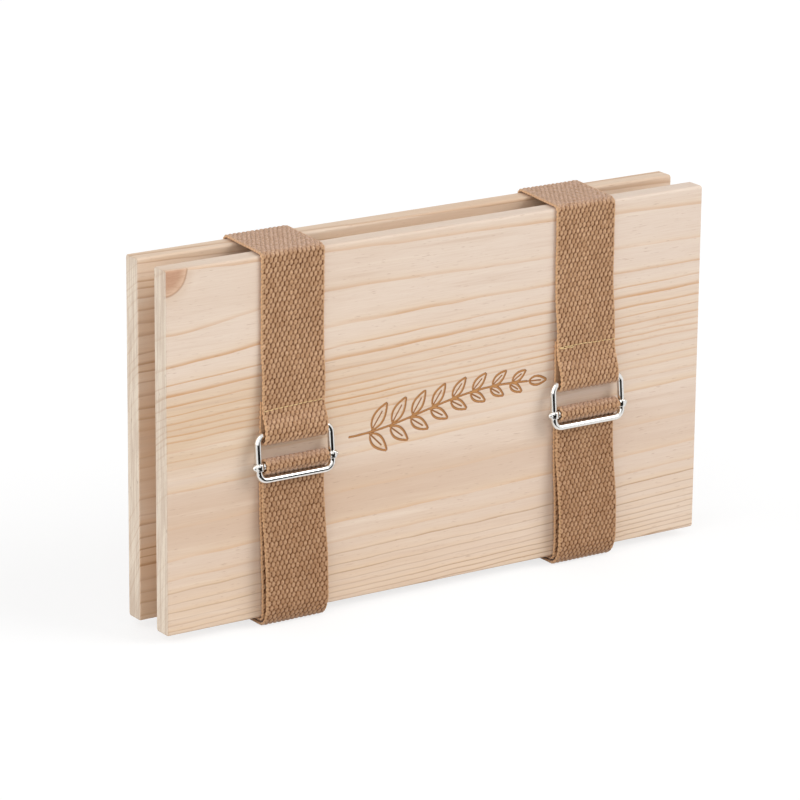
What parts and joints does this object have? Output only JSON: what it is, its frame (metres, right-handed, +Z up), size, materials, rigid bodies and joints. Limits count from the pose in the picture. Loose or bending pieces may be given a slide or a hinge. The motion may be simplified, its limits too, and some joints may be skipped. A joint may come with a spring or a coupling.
{
  "type": "flower press",
  "caption": "Strap-closed flower press: pine boards with corrugated card and blotting paper between, drawn together by webbing straps with wire slide buckles.",
  "frame": {"origin": "under the middle of the press, on the surface that the straps stand on", "axes": "+X along the boards to the right, +Y from the buckles' side to the back, +Z up"},
  "size_m": [0.275, 0.045, 0.1647],
  "materials": {
    "pine": "planed, untreated",
    "webbing": "heavy cotton weave",
    "nickel_wire": "bright nickel plate",
    "corrugated_card": "plain kraft",
    "blotting_paper": "soft, unsized"
  },
  "bodies": {
    "back": {"back_board": "pine", "card_1": "corrugated_card", "blotter_1": "blotting_paper"},
    "rear_leaf": {"blotter_2": "blotting_paper", "card_2": "corrugated_card", "blotter_3": "blotting_paper"},
    "front_leaf": {"blotter_4": "blotting_paper", "card_3": "corrugated_card", "blotter_5": "blotting_paper"},
    "front": {"front_board": "pine", "blotter_6": "blotting_paper", "card_4": "corrugated_card"},
    "left_strap": {"left_strap_top_span": "webbing", "left_strap_back_run": "webbing", "left_strap_bottom_span": "webbing", "left_strap_tail_bottom": "webbing", "left_strap_tail_back": "webbing"},
    "left_strap_front": {"left_strap_upper_run": "webbing", "left_strap_lower_run": "webbing", "left_strap_tail_front": "webbing"},
    "left_buckle": {"left_buckle_frame": "nickel_wire"},
    "left_slide_bar": {"left_buckle_slide_bar": "nickel_wire", "left_strap_bar_wrap": "webbing"},
    "right_strap": {"right_strap_top_span": "webbing", "right_strap_back_run": "webbing", "right_strap_bottom_span": "webbing", "right_strap_tail_bottom": "webbing", "right_strap_tail_back": "webbing"},
    "right_strap_front": {"right_strap_upper_run": "webbing", "right_strap_lower_run": "webbing", "right_strap_tail_front": "webbing"},
    "right_buckle": {"right_buckle_frame": "nickel_wire"},
    "right_slide_bar": {"right_buckle_slide_bar": "nickel_wire", "right_strap_bar_wrap": "webbing"}
  },
  "joints": [
    {"name": "press_opening", "type": "slide", "parent": "back", "child": "front", "axis": [0, -1, 0], "range_m": [0, 0.024], "deforming": ["left_strap_top_span", "left_strap_bottom_span", "left_strap_tail_bottom", "right_strap_top_span", "right_strap_bottom_span", "right_strap_tail_bottom"]},
    {"name": "rear_leaf_parting", "type": "slide", "parent": "back", "child": "rear_leaf", "axis": [0, -1, 0], "range_m": [0, 0.008]},
    {"name": "front_leaf_parting", "type": "slide", "parent": "back", "child": "front_leaf", "axis": [0, -1, 0], "range_m": [0, 0.016]},
    {"name": "left_strap_slide", "type": "slide", "parent": "back", "child": "left_strap", "axis": [1, 0, 0], "range_m": [-0.082, 0.05]},
    {"name": "left_strap_letting_out", "type": "slide", "parent": "left_strap", "child": "left_strap_front", "axis": [0, -1, 0], "range_m": [0, 0.024]},
    {"name": "left_buckle_lift", "type": "hinge", "parent": "left_strap_front", "child": "left_buckle", "pos_m": [-0.0772, -0.01774, 0.08601], "axis": [-1, 0, 0], "range_deg": [0, 50]},
    {"name": "left_bar_slide", "type": "slide", "parent": "left_buckle", "child": "left_slide_bar", "axis": [0, 0.099, 0.9951], "range_m": [0, 0.0038]},
    {"name": "right_strap_slide", "type": "slide", "parent": "back", "child": "right_strap", "axis": [1, 0, 0], "range_m": [-0.05, 0.085]},
    {"name": "right_strap_letting_out", "type": "slide", "parent": "right_strap", "child": "right_strap_front", "axis": [0, -1, 0], "range_m": [0, 0.024]},
    {"name": "right_buckle_lift", "type": "hinge", "parent": "right_strap_front", "child": "right_buckle", "pos_m": [0.074, -0.01774, 0.08441], "axis": [-1, 0, 0], "range_deg": [0, 50]},
    {"name": "right_bar_slide", "type": "slide", "parent": "right_buckle", "child": "right_slide_bar", "axis": [0, 0.099, 0.9951], "range_m": [0, 0.0038]}
  ],
  "couplings": [
    {"joint": "rear_leaf_parting", "follows": "press_opening", "ratio": 0.3333},
    {"joint": "front_leaf_parting", "follows": "press_opening", "ratio": 0.6666},
    {"joint": "left_strap_letting_out", "follows": "press_opening", "ratio": 1},
    {"joint": "right_strap_letting_out", "follows": "press_opening", "ratio": 1}
  ]
}
